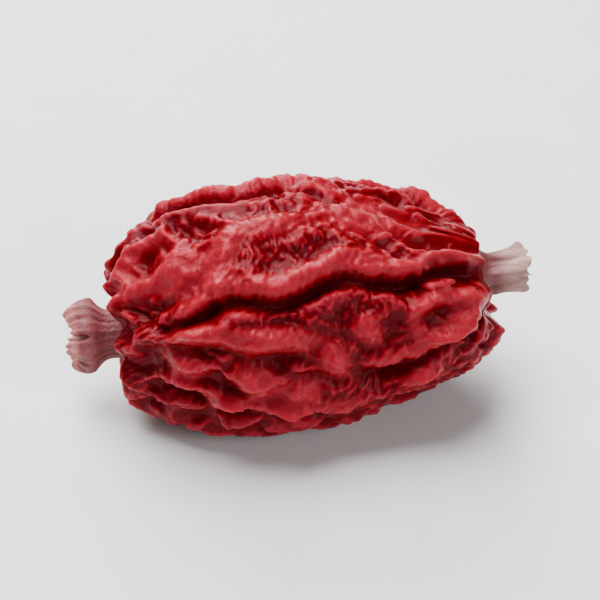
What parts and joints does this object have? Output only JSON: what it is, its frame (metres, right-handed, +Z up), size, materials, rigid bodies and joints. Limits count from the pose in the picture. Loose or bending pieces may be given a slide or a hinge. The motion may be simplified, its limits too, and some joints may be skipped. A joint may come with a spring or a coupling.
{
  "type": "dried barberry",
  "caption": "Dried barberry lying on its side: an oblong, wrinkled red berry with a short stem stub at one end and a ring-shaped stigma with a pit at the other.",
  "frame": {"origin": "middle of the small flat spot on the berry's underside, on the surface that it rests on", "axes": "+X along the berry from the blossom end to the stem end, +Z up from the surface, -Y towards the viewer of the picture"},
  "size_m": [0.0092, 0.0051, 0.0047],
  "materials": {
    "berry_skin": "satin",
    "stem": "matte",
    "stigma": "matte"
  },
  "bodies": {
    "root": {"berry": "berry_skin", "stem_stub": "stem", "stigma_ring": "stigma"}
  },
  "joints": []
}
